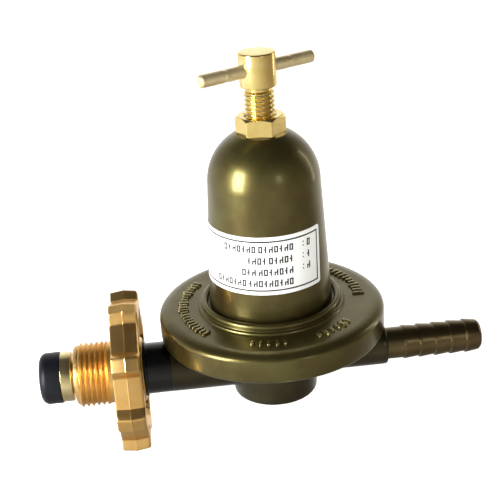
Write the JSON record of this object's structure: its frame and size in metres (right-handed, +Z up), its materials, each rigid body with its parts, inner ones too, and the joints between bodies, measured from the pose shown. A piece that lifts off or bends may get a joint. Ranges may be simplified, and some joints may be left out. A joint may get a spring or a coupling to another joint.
{
  "type": "gas regulator",
  "caption": "Adjustable high-pressure gas regulator with a hand-tightened bull-nose inlet, a spring bell with a tee-bar screw, and a barbed hose outlet.",
  "frame": {"origin": "middle of the inlet thread, on its axis", "axes": "+X along the gas passages, from the inlet to the hose outlet; +Z up the bell's axis"},
  "size_m": [0.1568, 0.078, 0.1383],
  "materials": {
    "body_paint": "glossy metallic olive-bronze paint on die-cast zinc",
    "cover_paint": "glossy metallic olive-bronze paint on die-cast metal",
    "yellow_brass": "turned and polished yellow brass",
    "bearing_steel": "ground bearing steel",
    "zinc_plated_steel": "bright zinc-plated steel",
    "spring_steel": "oil-tempered spring wire",
    "black_rubber": "fabric-reinforced nitrile rubber",
    "red_fibre": "red vulcanised fibre",
    "pale_brass": "nickel-washed brass",
    "nose_rubber": "moulded nitrile rubber",
    "forged_brass": "hot-forged brass with a turned thread",
    "black_sleeve": "glossy black moulded plastic",
    "bronzed_brass": "turned brass, darkened to bronze",
    "label_film": "white printed film"
  },
  "bodies": {
    "root": {"body_casting": "body_paint", "bonnet_cover": "cover_paint", "bonnet_bush": "yellow_brass", "main_spring": "spring_steel", "diaphragm": "black_rubber", "valve_seat": "yellow_brass", "poppet_spring": "spring_steel", "bottom_plug": "yellow_brass", "plug_gasket": "red_fibre", "inlet_nipple": "pale_brass", "nose_seal": "nose_rubber", "inlet_filter": "pale_brass", "thrust_sleeve": "black_sleeve", "hose_nozzle": "bronzed_brass", "rating_label": "label_film"},
    "handwheel": {"handwheel": "forged_brass"},
    "button": {"spring_button": "zinc_plated_steel", "thrust_ball": "bearing_steel"},
    "screw": {"adjusting_screw": "yellow_brass"},
    "bar": {"tee_bar": "yellow_brass"},
    "diaphragm_stack": {"diaphragm_plate": "zinc_plated_steel", "diaphragm_washer": "zinc_plated_steel", "diaphragm_rivet": "yellow_brass"},
    "poppet": {"valve_poppet": "yellow_brass", "poppet_seal": "black_rubber", "push_pin": "bearing_steel"}
  },
  "joints": [
    {"name": "handwheel_spin", "type": "hinge", "parent": "root", "child": "handwheel", "pos_m": [0, 0, 0], "axis": [1, 0, 0], "continuous": true},
    {"name": "adjuster_turn", "type": "hinge", "parent": "button", "child": "screw", "pos_m": [0.06424, 0, 0.10435], "axis": [0, 0, 1], "range_deg": [-1801, 1081]},
    {"name": "adjuster_travel", "type": "slide", "parent": "root", "child": "button", "axis": [0, 0, 1], "range_m": [-0.0075, 0.0045], "deforming": ["main_spring"]},
    {"name": "bar_slide", "type": "slide", "parent": "screw", "child": "bar", "axis": [0.8788, 0.4772, 0], "range_m": [-0.0055, 0.0055]},
    {"name": "diaphragm_lift", "type": "slide", "parent": "root", "child": "diaphragm_stack", "axis": [0, 0, 1], "range_m": [-0.001, 0], "stiffness_N_per_m": 3000, "springref_m": 0.0005, "deforming": ["diaphragm"]},
    {"name": "poppet_lift", "type": "slide", "parent": "root", "child": "poppet", "axis": [0, 0, 1], "range_m": [-0.001, 0], "deforming": ["poppet_spring"]}
  ],
  "couplings": [
    {"joint": "adjuster_turn", "follows": "adjuster_travel", "rad_per_m": 4188.8},
    {"joint": "poppet_lift", "follows": "diaphragm_lift", "ratio": 1}
  ]
}
